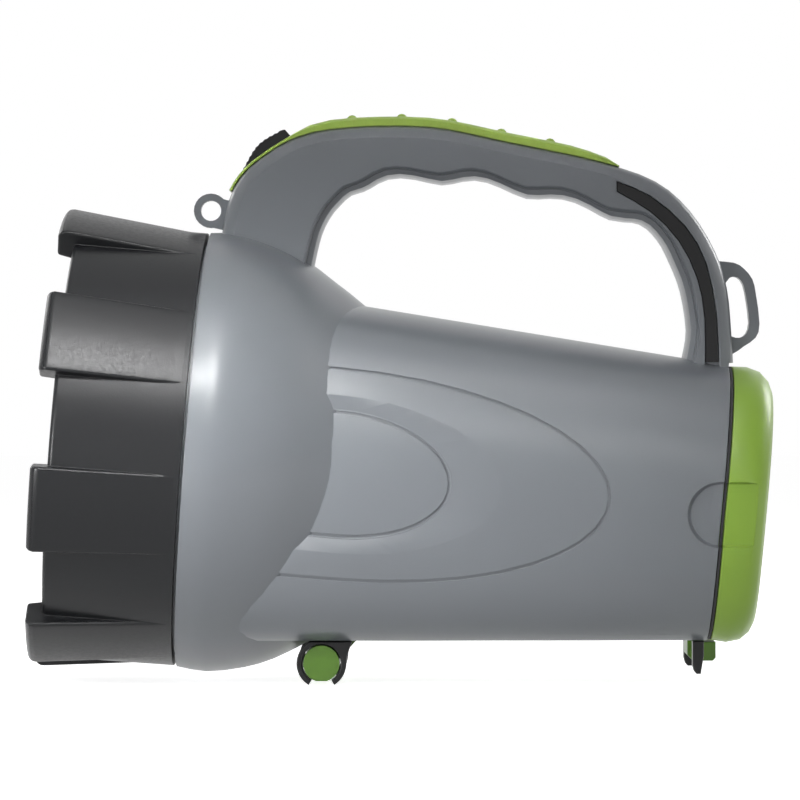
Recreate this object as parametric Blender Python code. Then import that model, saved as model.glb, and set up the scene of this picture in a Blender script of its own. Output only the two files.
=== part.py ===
# Hand spotlight with a folding stand, modelled in millimetres and placed in metres.
# The lamp points to -X, its handle is at +Z and the frame's origin is under the middle of its box.
import math

import bmesh
import bpy
from mathutils import Matrix, Vector

MM = 0.001

# Fits and walls
FIT = 0.3
PLAY = 0.4
WALL = 2.6
PARTING_GAP = 0.3

# Head: its own frame has x along the lamp's axis, rearwards from the bezel seam
SEAM_X = -68.4
SEAM_Z = 76.7
HEAD_TILT = 4.5
HEAD_DROOP = 1.2
SEAM_RADIUS = 72.4
DOME_SHOULDER = 10.0
DOME_SWELL = 0.7
DOME_FALL = [(22.3, 1.9), (32.0, 5.8), (42.0, 12.0), (53.0, 19.2), (64.0, 28.4)]
DOME_FLATTENING = 0.17
DOME_FLATTENING_REACH = 50.0
COLLAR_LENGTH = 27.7
HEAD_SEGMENTS = 72

# Bezel
BEZEL_LENGTH = 43.2
BEZEL_REAR_GAP = 1.1
BEZEL_WALL = 4.2
CUP_DEPTH = 6.2
LENS_LIP_WIDTH = 5.0
LENS_LIP_THICKNESS = 2.4
LOBE_COUNT = 8
LOBE_LENGTH = 48.3
LOBE_REAR = 2.4
LOBE_RISE = 4.6
LOBE_REAR_SINK = 0.45
LOBE_HALF_ANGLE = 10.8
LOBE_PHASE = 28.0
LOBE_NOSE = 2.2
LOBE_FACE_WIDTH = 4.8
RING_EDGE = 1.5
RING_FACE_WIDTH = 3.3
RING_TAPER = 0.3

# Optics
LENS_THICKNESS = 2.6
SEAL_THICKNESS = 1.5
SEAL_WIDTH = 4.4
REFLECTOR_FLANGE_WIDTH = 5.4
REFLECTOR_FLANGE = 1.6
REFLECTOR_FOCUS = 17.0
REFLECTOR_NECK_RADIUS = 10.0
REFLECTOR_WALL = 1.6
REFLECTOR_SEGMENTS = 40
REFLECTOR_RINGS = 6
LED_BOARD_RADIUS = 15.0
LED_BOARD_THICKNESS = 1.6
EMITTER_RADIUS = 4.0
EMITTER_HEIGHT = 3.0
EMITTER_BASE = 1.0
SINK_RADIUS = 21.0
SINK_BASE = 4.0
SINK_FIN_LENGTH = 10.0
SINK_FIN_COUNT = 5
SINK_FIN_WIDTH = 2.0

# Body
BODY_FRONT_X = -52.0
BODY_REAR_X = 112.0
BODY_TOP_FRONT_Z = 131.0
BODY_TOP_REAR_Z = 104.3
BODY_BOTTOM_Z = 14.5
BODY_BELLY = 2.0
BODY_FRONT_HALF_WIDTH = 53.0
BODY_REAR_HALF_WIDTH = 41.0
BODY_WIDEST_SHARE = 0.48
BODY_UPPER_POWER = 2.5
BODY_LOWER_POWER = 4.0
BODY_RING_POINTS = 56
BODY_STATIONS = 3

# Rear end
REAR_PLANE_X = 104.4
REAR_PLANE_Z = 58.0
REAR_PLANE_TILT = 5.3
COVER_TOP_GAP = 1.4
COVER_DEPTH = 15.4
COVER_ROUNDING = 9.0
COVER_WALL = 3.2
COVER_TONGUE_LENGTH = 4.0
COVER_TONGUE_WALL = 1.6
GASKET_THICKNESS = 0.8
GASKET_INSET = 0.35
THUMB_X = 104.3
THUMB_Z = 55.9
THUMB_RADIUS = 10.8
THUMB_DEPTH = 1.8
THUMB_CHAMFER = 0.8
THUMB_REACH = 30.0
PANEL_RECESS = 8.0
PANEL_THICKNESS = 2.0

# Side panels: three nested half ellipses on each flank
PANEL_MIDLINE_X = -20.0
PANEL_MIDLINE_Z = 69.3
PANEL_MIDLINE_FALL = 0.085
OUTER_OVAL_TIP_X = 68.0
OUTER_OVAL_HALF_HEIGHT = 34.0
DISH_TIP_X = 33.0
DISH_HALF_HEIGHT = 25.6
INNER_OVAL_TIP_X = 16.1
INNER_OVAL_HALF_HEIGHT = 20.0
OVAL_START_X = -44.0
OVAL_STEPS = 20
DISH_DEPTH = 1.7
DISH_FLOOR_RUN = 18.0
GROOVE_WIDTH = 1.0
GROOVE_DEPTH = 0.7

# Handle: matching points of its outer and inner contour, from the head to the rear
HANDLE_OUTER = [
    (-59.3, 138.0), (-58.8, 149.0), (-55.3, 162.9), (-46.0, 173.2), (-28.0, 181.9),
    (7.0, 183.6), (36.7, 178.2), (66.0, 172.0), (84.5, 165.6), (96.0, 155.8),
    (104.3, 142.5), (108.3, 130.0), (109.7, 116.0), (110.4, 104.0), (110.9, 97.0),
]
HANDLE_INNER = [
    (-29.8, 131.0), (-27.6, 142.5), (-25.0, 151.0), (-20.0, 158.2), (-12.0, 162.9),
    (14.0, 165.0), (42.3, 160.5), (70.0, 153.4), (80.0, 151.9), (86.0, 146.5),
    (90.0, 139.0), (93.6, 129.5), (95.6, 116.5), (94.3, 107.5), (92.5, 97.0),
]
HANDLE_HALF_WIDTH = 14.0
HANDLE_TOP_HALF_WIDTH = 9.4
HANDLE_STEPS = 3
FINGER_SPANS = (4, 5, 6)
FINGER_STEPS = 7
FINGER_DEPTH = 3.2
FINGER_ROUNDING = 1.7
INNER_STRIP_WIDTH = 2.8
INNER_STRIP_HALF_WIDTH = 11.0

# Channel and inlay in the handle's rear leg
CHANNEL_OUTER = [(71.5, 165.6), (82.8, 160.7), (94.4, 150.6), (101.3, 138.4), (104.8, 120.9), (105.6, 101.0)]
CHANNEL_INNER = [(71.5, 161.9), (82.8, 155.2), (92.0, 145.6), (98.0, 133.5), (100.5, 120.0), (100.6, 101.0)]
CHANNEL_DEPTH = 2.4
INLAY_THICKNESS = 1.2
INLAY_END_Z = 105.7

# Eyelet and strap loop
EYELET_X = -62.9
EYELET_Z = 156.2
EYELET_OUTER_RADIUS = 5.7
EYELET_HOLE_RADIUS = 3.4
EYELET_HALF_THICKNESS = 2.6
EYELET_WEB_LENGTH = 7.9
LOOP_OUTER = [
    (104.0, 139.5), (111.0, 138.9), (114.4, 136.9), (117.2, 133.4), (118.4, 128.5),
    (119.6, 118.6), (118.3, 113.9), (114.3, 111.0), (110.8, 108.6), (104.5, 106.5),
]
LOOP_HOLE = [
    (107.6, 130.9), (109.7, 133.9), (112.2, 134.0), (114.2, 131.6), (115.4, 126.0),
    (116.2, 118.9), (115.2, 115.3), (113.0, 113.9), (110.2, 114.4), (108.4, 116.4),
]
LOOP_HALF_THICKNESS = 3.0

# Grip strip
STRIP_START = 1.95
STRIP_END = 7.3
STRIP_STEPS = 24
STRIP_HALF_WIDTH = 9.0
STRIP_THIN = 1.3
STRIP_THICKNESS = 3.5
STRIP_RISE_START = 3.5
STRIP_RISE_END = 4.2
STRIP_FALL_START = 6.6
NUB_FIRST_X = -15.7
NUB_PITCH = 16.25
NUB_COUNT = 5
NUB_RADIUS = 1.9
NUB_HEIGHT = 1.0
NUB_HALF_WIDTH = 5.0
NUB_BEVEL = 0.5

# Button and switch, in a frame on the handle's front bend
BUTTON_X = -44.4
BUTTON_Z = 174.6
BUTTON_ANGLE = 41.1
BUTTON_HALF_LENGTH = 10.2
BUTTON_HALF_WIDTH = 6.3
BUTTON_HEIGHT = 2.9
BUTTON_FRONT_EDGE = 0.0
BUTTON_REAR_EDGE = 1.3
BUTTON_BEVEL = 0.7
BUTTON_SKIRT = 3.6
BUTTON_TRAVEL = 2.0
BUTTON_STEM_RADIUS = 1.5
SWITCH_HALF_LENGTH = 6.0
SWITCH_HALF_WIDTH = 5.0
SWITCH_HEIGHT = 6.5

# Stand
AXLE_X = -25.7
AXLE_Z = 7.0
AXLE_RADIUS = 5.95
AXLE_FLAT = 5.7
CLIP_OUTER_RADIUS = 8.15
CLIP_MOUTH_Z = 0.0
CLIP_INNER_Y = 20.5
CLIP_OUTER_Y = 29.5
CLIP_GUSSET_REACH = 10.0
LEG_HALF_WIDTH = 18.8
LEG_ARM_INNER_Y = 10.5
LEG_THICKNESS = 3.8
LEG_REAR_X = 99.2
LEG_BAR_X = 90.0
LEG_TAB_HALF_WIDTH = 9.0
LEG_TAB_BOTTOM_Z = 6.8
LEG_TAB_REAR_X = 104.6
RECESS_FRONT_X = -22.0
RECESS_DEPTH = 4.8
RECESS_SIDE_GAP = 0.7
LATCH_FRONT_X = 95.9
LATCH_REAR_X = 99.6
LATCH_BOTTOM_Z = 3.4
LATCH_WIDTH = 5.2

# Inner parts
BATTERY_LENGTH = 100.0
BATTERY_HEIGHT = 70.0
BATTERY_HALF_WIDTH = 23.5
BATTERY_REAR_X = 90.0
CRADLE_FLOOR = 2.0
CRADLE_WALL = 1.8
CRADLE_SIDE_HEIGHT = 26.0
BOARD_HALF_WIDTH = 20.0
BOARD_HEIGHT = 46.0
BOARD_THICKNESS = 1.6
BOARD_OFFSET = 6.0
JACK_RADIUS = 5.4
JACK_FLANGE_RADIUS = 7.0
JACK_BORE_RADIUS = 3.2
JACK_PIN_RADIUS = 1.0
JACK_LENGTH = 11.0
JACK_Z = 70.0
INDICATOR_RADIUS = 2.5
INDICATOR_LENGTH = 8.0
INDICATOR_Y = 14.0

# Colour, roughness and metallic value of each material
FINISHES = {
    "grey_housing": ((0.165, 0.175, 0.185, 1.0), 0.42, 0.0),
    "black_bezel": ((0.03, 0.031, 0.033, 1.0), 0.5, 0.0),
    "black_moulding": ((0.012, 0.012, 0.013, 1.0), 0.45, 0.0),
    "green_trim": ((0.27, 0.42, 0.05, 1.0), 0.45, 0.0),
    "green_axle": ((0.12, 0.2, 0.03, 1.0), 0.45, 0.0),
    "clear_lens": ((0.9, 0.93, 0.95, 1.0), 0.05, 0.0),
    "seal_rubber": ((0.02, 0.02, 0.02, 1.0), 0.8, 0.0),
    "bright_reflector": ((0.85, 0.86, 0.88, 1.0), 0.08, 1.0),
    "led_yellow": ((0.85, 0.75, 0.15, 1.0), 0.3, 0.0),
    "board_green": ((0.02, 0.16, 0.06, 1.0), 0.5, 0.0),
    "sink_aluminium": ((0.6, 0.61, 0.62, 1.0), 0.35, 1.0),
    "battery_case": ((0.05, 0.055, 0.065, 1.0), 0.5, 0.0),
    "indicator_red": ((0.6, 0.03, 0.02, 1.0), 0.2, 0.0),
}


def clear_scene():
    for item in list(bpy.data.objects):
        bpy.data.objects.remove(item)


def finish(name):
    material = bpy.data.materials.get(name) or bpy.data.materials.new(name)
    colour, roughness, metallic = FINISHES[name]
    material.use_nodes = True
    shader = material.node_tree.nodes["Principled BSDF"]
    shader.inputs["Base Color"].default_value = colour
    shader.inputs["Roughness"].default_value = roughness
    shader.inputs["Metallic"].default_value = metallic
    return material


def to_object(bm, name="form", matrix=None):
    """Turns a bmesh in millimetres into an object in metres."""
    bmesh.ops.remove_doubles(bm, verts=bm.verts, dist=1e-4)
    bmesh.ops.recalc_face_normals(bm, faces=bm.faces)
    bmesh.ops.transform(bm, matrix=Matrix.Scale(MM, 4) @ (matrix or Matrix()), verts=bm.verts)
    mesh = bpy.data.meshes.new(name)
    bm.to_mesh(mesh)
    bm.free()
    item = bpy.data.objects.new(name, mesh)
    bpy.context.scene.collection.objects.link(item)
    return item


def boolean(target, tool, operation):
    """Applies one Boolean to the target and removes the tool."""
    modifier = target.modifiers.new(operation.lower(), "BOOLEAN")
    modifier.operation = operation
    modifier.solver = "EXACT"
    modifier.object = tool
    graph = bpy.context.evaluated_depsgraph_get()
    mesh = bpy.data.meshes.new_from_object(target.evaluated_get(graph))
    target.modifiers.clear()
    target.data = mesh
    bpy.data.objects.remove(tool)
    return target


def cut(target, *tools):
    for tool in tools:
        boolean(target, tool, "DIFFERENCE")
    return target


def join(target, *tools):
    for tool in tools:
        boolean(target, tool, "UNION")
    return target


def duplicate(item):
    copy = bpy.data.objects.new(item.name, item.data.copy())
    bpy.context.scene.collection.objects.link(copy)
    return copy


def add_part(item, name, material, pivot=None, smooth_angle=35.0):
    """Names a finished piece, gives it its material and sets its origin on the pivot."""
    item.name = name
    item.data.name = name
    item.data.materials.clear()
    item.data.materials.append(finish(material))
    item.data.shade_smooth()
    item.data.set_sharp_from_angle(angle=math.radians(smooth_angle))
    if pivot:
        place = Vector(pivot) * MM
        item.data.transform(Matrix.Translation(-place))
        item.location = place
    return item


def lathe(profile, segments=HEAD_SEGMENTS, matrix=None):
    """Spins (x, radius) points about the x axis; a profile may start and end on the axis."""
    bm = bmesh.new()
    verts = [bm.verts.new((x, 0, radius)) for x, radius in profile]
    edges = [bm.edges.new(pair) for pair in zip(verts, verts[1:])]
    if profile[0][1] > 0:
        edges.append(bm.edges.new((verts[-1], verts[0])))
    bmesh.ops.spin(
        bm, geom=verts + edges, cent=(0, 0, 0), axis=(1, 0, 0), dvec=(0, 0, 0),
        angle=2 * math.pi, steps=segments, use_merge=True, use_duplicate=False,
    )
    return to_object(bm, matrix=matrix)


def sector(profile, start, end, steps, matrix=None):
    """Sweeps (x, radius) points between two angles about the x axis, in degrees from -Y towards +Z."""
    rings = []
    for step in range(steps + 1):
        angle = math.radians(start + (end - start) * step / steps)
        rings.append([(x, -r * math.cos(angle), r * math.sin(angle)) for x, r in profile])
    return loft(rings, matrix=matrix)


def loft(rings, matrix=None):
    """Skins rings of equal point counts and closes both ends."""
    bm = bmesh.new()
    loops = [[bm.verts.new(point) for point in ring] for ring in rings]
    count = len(loops[0])
    for near, far in zip(loops, loops[1:]):
        for i in range(count):
            j = (i + 1) % count
            bm.faces.new((near[i], near[j], far[j], far[i]))
    bm.faces.new(loops[0])
    bm.faces.new(reversed(loops[-1]))
    return to_object(bm, matrix=matrix)


def ring_loft(rings):
    """Skins rings that run round and back to the first, as a closed tube."""
    bm = bmesh.new()
    loops = [[bm.verts.new(point) for point in ring] for ring in rings]
    count = len(loops[0])
    for k, near in enumerate(loops):
        far = loops[(k + 1) % len(loops)]
        for i in range(count):
            j = (i + 1) % count
            bm.faces.new((near[i], near[j], far[j], far[i]))
    return to_object(bm)


def extrude(outline, y_from, y_to, matrix=None, bevel=0.0, segments=2):
    """Extrudes an (x, z) outline along y, with its side edges rounded by the bevel."""
    bm = bmesh.new()
    face = bm.faces.new([bm.verts.new((x, y_from, z)) for x, z in outline])
    made = bmesh.ops.extrude_face_region(bm, geom=[face])
    moved = [v for v in made["geom"] if isinstance(v, bmesh.types.BMVert)]
    bmesh.ops.translate(bm, verts=moved, vec=(0, y_to - y_from, 0))
    if bevel:
        ends = [f for f in bm.faces if len(f.verts) == len(outline)]
        rims = {edge for f in ends for edge in f.edges}
        bmesh.ops.bevel(
            bm, geom=list(rims), offset=bevel, segments=segments,
            profile=0.5, affect="EDGES", material=-1,
        )
    return to_object(bm, matrix=matrix)


def block(low, high, matrix=None, bevel=0.0):
    bm = bmesh.new()
    bmesh.ops.create_cube(bm, size=1.0)
    size = Vector(high) - Vector(low)
    bmesh.ops.scale(bm, vec=size, verts=bm.verts)
    bmesh.ops.translate(bm, vec=(Vector(high) + Vector(low)) / 2, verts=bm.verts)
    if bevel:
        bmesh.ops.bevel(
            bm, geom=bm.edges, offset=bevel, segments=2, profile=0.5, affect="EDGES", material=-1,
        )
    return to_object(bm, matrix=matrix)


def spline(points, u):
    """A Catmull-Rom curve through the points; u counts whole spans."""
    last = len(points) - 1
    span = min(max(int(u), 0), last - 1)
    t = u - span
    p1, p2 = Vector(points[span]), Vector(points[span + 1])
    p0 = Vector(points[span - 1]) if span > 0 else 2 * p1 - p2
    p3 = Vector(points[span + 2]) if span + 2 <= last else 2 * p2 - p1
    square = (2 * p0 - 5 * p1 + 4 * p2 - p3) * t**2
    cube = (3 * p1 - p0 - 3 * p2 + p3) * t**3
    return 0.5 * (2 * p1 + (p2 - p0) * t + square + cube)


def smooth(points, steps):
    """The curve through the points, sampled a few times in each span."""
    spans = len(points) - 1
    return [tuple(spline(points, k / steps)) for k in range(spans * steps + 1)]


def arc(centre, radius, start, end, steps):
    return [
        (
            centre[0] + radius * math.cos(math.radians(start + (end - start) * k / steps)),
            centre[1] + radius * math.sin(math.radians(start + (end - start) * k / steps)),
        )
        for k in range(steps + 1)
    ]


def circle(centre, radius, sides):
    return arc(centre, radius, 0, 360 - 360 / sides, sides - 1)


def head_frame():
    return Matrix.Translation((SEAM_X, 0, SEAM_Z)) @ Matrix.Rotation(math.radians(HEAD_TILT), 4, "Y")


def button_frame():
    """x along the handle's front bend, z outwards through the button."""
    place = Matrix.Translation((BUTTON_X, 0, BUTTON_Z))
    return place @ Matrix.Rotation(-math.radians(BUTTON_ANGLE), 4, "Y")


def rear_frame():
    """x rearwards along the rear plane's normal, from the body's rear rim."""
    place = Matrix.Translation((REAR_PLANE_X, 0, REAR_PLANE_Z))
    return place @ Matrix.Rotation(math.radians(REAR_PLANE_TILT), 4, "Y")


# Head

def dome_points(inset=0.0):
    """The dome's (x, radius) profile behind the seam, moved inwards by the inset."""
    points = [(0.0, SEAM_RADIUS), (DOME_SHOULDER, SEAM_RADIUS + DOME_SWELL)]
    points += [(x, SEAM_RADIUS - fall) for x, fall in DOME_FALL]
    curve = smooth(points, 2)
    return [(x, radius - inset) for x, radius in curve]


def head_rings(profile, segments):
    """Rings about the head axis that sink a little and flatten in width towards the rear."""
    rings = []
    for x, radius in profile:
        reach = max(x, 0.0)
        drop = reach * math.tan(math.radians(HEAD_DROOP))
        narrow = 1 - DOME_FLATTENING * min(reach / DOME_FLATTENING_REACH, 1.2) ** 1.5
        ring = []
        for k in range(segments):
            angle = 2 * math.pi * k / segments
            ring.append((x, -radius * narrow * math.cos(angle), radius * math.sin(angle) - drop))
        rings.append(ring)
    return rings


def head_solid():
    collar = SEAM_RADIUS - BEZEL_WALL - FIT
    profile = [(-COLLAR_LENGTH, collar), (0.0, collar)] + dome_points()
    return loft(head_rings(profile, HEAD_SEGMENTS), matrix=head_frame())


def head_cavity():
    collar = SEAM_RADIUS - BEZEL_WALL - FIT - WALL
    inner = [point for point in dome_points(WALL) if DOME_SHOULDER / 2 < point[0] < DOME_FALL[-1][0]]
    profile = [(-COLLAR_LENGTH - 2, collar), (WALL, collar)] + inner
    return loft(head_rings(profile, HEAD_SEGMENTS // 2), matrix=head_frame())


# Body

def body_section(x):
    """Bottom, top, widest height and half width of the body's section at x."""
    share = (x - BODY_FRONT_X) / (BODY_REAR_X - BODY_FRONT_X)
    top = BODY_TOP_FRONT_Z + (BODY_TOP_REAR_Z - BODY_TOP_FRONT_Z) * share
    width = BODY_FRONT_HALF_WIDTH + (BODY_REAR_HALF_WIDTH - BODY_FRONT_HALF_WIDTH) * share
    bottom = BODY_BOTTOM_Z - BODY_BELLY
    centre = bottom + (top - bottom) * BODY_WIDEST_SHARE
    return bottom, top, centre, width


def body_ring(x, inset=0.0):
    bottom, top, centre, width = body_section(x)
    ring = []
    for k in range(BODY_RING_POINTS):
        angle = 2 * math.pi * (k + 0.5) / BODY_RING_POINTS
        c, s = math.cos(angle), math.sin(angle)
        power = BODY_UPPER_POWER if s > 0 else BODY_LOWER_POWER
        height = top - centre if s > 0 else centre - bottom
        y = math.copysign(abs(c) ** (2 / power), c) * (width - inset)
        z = centre + math.copysign(abs(s) ** (2 / power), s) * (height - inset)
        ring.append((x, y, max(z, BODY_BOTTOM_Z + inset)))
    return ring


def body_half_width(x, z):
    bottom, top, centre, width = body_section(x)
    power = BODY_UPPER_POWER if z > centre else BODY_LOWER_POWER
    height = top - centre if z > centre else centre - bottom
    return width * max(1 - min(abs(z - centre) / height, 1.0) ** power, 0.0) ** (1 / power)


def body_loft(front_x, rear_x, inset=0.0):
    stations = [front_x + (rear_x - front_x) * k / BODY_STATIONS for k in range(BODY_STATIONS + 1)]
    return loft([body_ring(x, inset) for x in stations])


def behind_rear_plane(top_z=None):
    """A block that covers everything behind the body's rear rim, or only what lies below a height."""
    reach = 2 * BODY_REAR_HALF_WIDTH
    high = BODY_REAR_X
    if top_z is not None:
        high = (top_z - REAR_PLANE_Z) / math.cos(math.radians(REAR_PLANE_TILT))
    return block((0, -reach, -BODY_REAR_X), (reach, reach, high), matrix=rear_frame())


def midline_z(x):
    return PANEL_MIDLINE_Z - PANEL_MIDLINE_FALL * (x - PANEL_MIDLINE_X)


def oval(tip_x, half_height, grow=0.0, front=0.0, steps=OVAL_STEPS):
    """Half an ellipse with its tip to the rear, run on to the front as two straight edges."""
    start = PANEL_MIDLINE_X
    points = []
    for k in range(steps + 1):
        angle = math.pi * (0.5 - k / steps)
        x = start + (tip_x - start + grow) * math.cos(angle)
        points.append((x, midline_z(x) + (half_height + grow) * math.sin(angle)))
    end = OVAL_START_X - grow + front
    low = (end, midline_z(end) - half_height - grow)
    high = (end, midline_z(end) + half_height + grow)
    return points + [low, high]


def on_flank(outline, depth, side):
    return [(x, side * (body_half_width(x, z) - depth), z) for x, z in outline]


def outside(outline, side, reach=62.0):
    return [(x, side * reach, z) for x, z in outline]


def groove_cutter(tip_x, half_height, floor_depth, side):
    """A closed channel that follows an oval at an even depth under the flank."""
    wide = oval(tip_x, half_height, GROOVE_WIDTH / 2)
    tight = oval(tip_x, half_height, -GROOVE_WIDTH / 2)
    deep = floor_depth + GROOVE_DEPTH
    return ring_loft([
        outside(wide, side), on_flank(wide, deep, side), on_flank(tight, deep, side), outside(tight, side),
    ])


def dish_cutter(side):
    """The sloped recess round the inner oval: full depth at the oval, none at the dish's rim."""
    rim = oval(DISH_TIP_X, DISH_HALF_HEIGHT)
    rim_above = oval(DISH_TIP_X, DISH_HALF_HEIGHT, DISH_DEPTH / 3)
    floor = oval(INNER_OVAL_TIP_X, INNER_OVAL_HALF_HEIGHT, GROOVE_WIDTH, 3 * DISH_DEPTH)
    middle = oval(INNER_OVAL_TIP_X - DISH_FLOOR_RUN, INNER_OVAL_HALF_HEIGHT / 2, 0.0, 5 * DISH_DEPTH)
    rings = [
        outside(rim_above, side), on_flank(rim_above, -0.2, side), on_flank(rim, 0.0, side),
        on_flank(floor, DISH_DEPTH, side), on_flank(middle, DISH_DEPTH, side),
    ]
    return loft(rings)


def thumb_cutter(side):
    """A flat-floored thumb recess: half a disc in the body, run on to the rear over the cover."""
    surface = body_half_width(THUMB_X, THUMB_Z)
    rear = THUMB_X + THUMB_REACH
    rings = []
    for step in (-1, 1):
        y = surface + step * THUMB_DEPTH
        radius = THUMB_RADIUS + step * THUMB_CHAMFER
        outline = arc((THUMB_X, THUMB_Z), radius, 90, 270, 16)
        outline += [(rear, THUMB_Z - radius), (rear, THUMB_Z + radius)]
        rings.append([(x, side * y, z) for x, z in outline])
    return loft(rings)


def body_solid():
    body = body_loft(BODY_FRONT_X, BODY_REAR_X)
    for side in (-1, 1):
        cut(body, dish_cutter(side))
        cut(body, groove_cutter(OUTER_OVAL_TIP_X, OUTER_OVAL_HALF_HEIGHT, 0.0, side))
        cut(body, groove_cutter(INNER_OVAL_TIP_X, INNER_OVAL_HALF_HEIGHT, DISH_DEPTH, side))
    return cut(body, behind_rear_plane())


def body_cavity():
    roof = BODY_BOTTOM_Z + RECESS_DEPTH + WALL
    side = LEG_HALF_WIDTH + RECESS_SIDE_GAP + WALL
    cavity = body_loft(BODY_FRONT_X + 18.0, BODY_REAR_X + 2.0, WALL + DISH_DEPTH)
    return cut(cavity, block((RECESS_FRONT_X - WALL, -side, 0), (BODY_REAR_X + 10, side, roof)))


# Handle

def handle_station(u):
    """Outer and inner point of the handle's section at u, with the finger grooves."""
    outer = spline(HANDLE_OUTER, u)
    inner = spline(HANDLE_INNER, u)
    span = int(u)
    if span in FINGER_SPANS:
        lift = FINGER_DEPTH * math.sin(math.pi * (u - span)) ** FINGER_ROUNDING
        inner = inner + (outer - inner).normalized() * lift
    return outer, inner


def handle_ring(u):
    """A rounded section whose narrow inner strip is set in from the flat sides by a small step."""
    outer, inner = handle_station(u)
    length = (outer - inner).length
    way = (outer - inner) / length
    half = HANDLE_HALF_WIDTH
    strip = INNER_STRIP_HALF_WIDTH
    side = [
        (0.0, strip - 4.0), (0.8, strip - 1.0),
        (INNER_STRIP_WIDTH - 0.2, strip), (INNER_STRIP_WIDTH, half - 0.8),
        (INNER_STRIP_WIDTH + 0.8, half - 0.1), (length / 2, half), (length - 4.2, half - 0.4),
        (length - 1.2, half - 2.4), (length, HANDLE_TOP_HALF_WIDTH),
    ]
    ring = [(inner + way * d, y) for d, y in side] + [(inner + way * d, -y) for d, y in reversed(side)]
    return [(point.x, y, point.y) for point, y in ring]


def handle_solid():
    stations = []
    for span in range(len(HANDLE_OUTER) - 1):
        steps = FINGER_STEPS if span in FINGER_SPANS else HANDLE_STEPS
        stations += [span + k / steps for k in range(steps)]
    stations.append(len(HANDLE_OUTER) - 1)
    return loft([handle_ring(u) for u in stations])


def channel_outline(inset=0.0, end_z=None):
    """The channel's outline; the inset pulls both long edges together."""
    outer = smooth(CHANNEL_OUTER, 2)
    inner = smooth(CHANNEL_INNER, 2)
    sides = ([], [])
    for a, b in zip(outer, inner):
        way = (Vector(b) - Vector(a)).normalized() * inset
        sides[0].append(tuple(Vector(a) + way))
        sides[1].append(tuple(Vector(b) - way))
    if inset:
        for side in sides:
            side[0] = (side[0][0] + inset, side[0][1])
    if end_z is not None:
        sides = [[p for p in side if p[1] > end_z + 1] + [(side[-1][0], end_z)] for side in sides]
    return sides[0] + sides[1][::-1]


def channel_cutter(side):
    floor = HANDLE_HALF_WIDTH - CHANNEL_DEPTH
    return extrude(channel_outline(), side * floor, side * (HANDLE_HALF_WIDTH + 5))


def eyelet_solid():
    half = EYELET_HALF_THICKNESS
    centre = (EYELET_X, EYELET_Z)
    ring = extrude(circle(centre, EYELET_OUTER_RADIUS, 24), -half, half)
    root = EYELET_X + EYELET_WEB_LENGTH
    rise = EYELET_OUTER_RADIUS * 0.8
    web = [
        (EYELET_X + 1.0, EYELET_Z + rise), (root, EYELET_Z + rise * 0.65), (root, EYELET_Z - rise * 1.6),
        (EYELET_X - 0.5, EYELET_Z - EYELET_OUTER_RADIUS * 0.93),
    ]
    join(ring, extrude(web, -half, half))
    return cut(ring, extrude(circle(centre, EYELET_HOLE_RADIUS, 22), -3 * half, 3 * half))


def strap_loop_solid():
    half = LOOP_HALF_THICKNESS
    loop = extrude(smooth(LOOP_OUTER, 2), -half, half)
    return cut(loop, extrude(smooth(LOOP_HOLE, 2), -3 * half, 3 * half))


def switch_pocket():
    length = BUTTON_HALF_LENGTH + PLAY
    width = BUTTON_HALF_WIDTH + PLAY
    skirt = BUTTON_SKIRT + BUTTON_TRAVEL + PLAY
    pocket = block((-length, -width, -skirt), (length, width, 12), matrix=button_frame())
    room = (SWITCH_HALF_LENGTH + FIT, SWITCH_HALF_WIDTH + FIT)
    low = (-room[0], -room[1], -skirt - SWITCH_HEIGHT - FIT)
    return join(pocket, block(low, (room[0], room[1], -skirt + 1), matrix=button_frame()))


def leg_recess():
    side = LEG_HALF_WIDTH + RECESS_SIDE_GAP
    return block((RECESS_FRONT_X, -side, 0), (BODY_REAR_X + 20, side, BODY_BOTTOM_Z + RECESS_DEPTH))


def make_housing():
    """Builds the closed outer form, hollows it and splits it on the mid-plane."""
    handle = handle_solid()
    cut(handle, channel_cutter(-1), channel_cutter(1))
    join(handle, strap_loop_solid(), eyelet_solid())
    shell = head_solid()
    join(shell, body_solid(), handle)
    cut(shell, head_cavity(), body_cavity(), switch_pocket(), leg_recess())
    cut(shell, thumb_cutter(-1), thumb_cutter(1), behind_rear_plane(BODY_TOP_REAR_Z + COVER_TOP_GAP))
    half_gap = PARTING_GAP / 2
    left = duplicate(shell)
    cut(left, block((-200, -half_gap, -50), (200, 100, 250)))
    cut(shell, block((-200, -100, -50), (200, half_gap, 250)))
    add_part(left, "housing_left", "grey_housing")
    add_part(shell, "housing_right", "grey_housing")


# Bezel and optics

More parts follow.
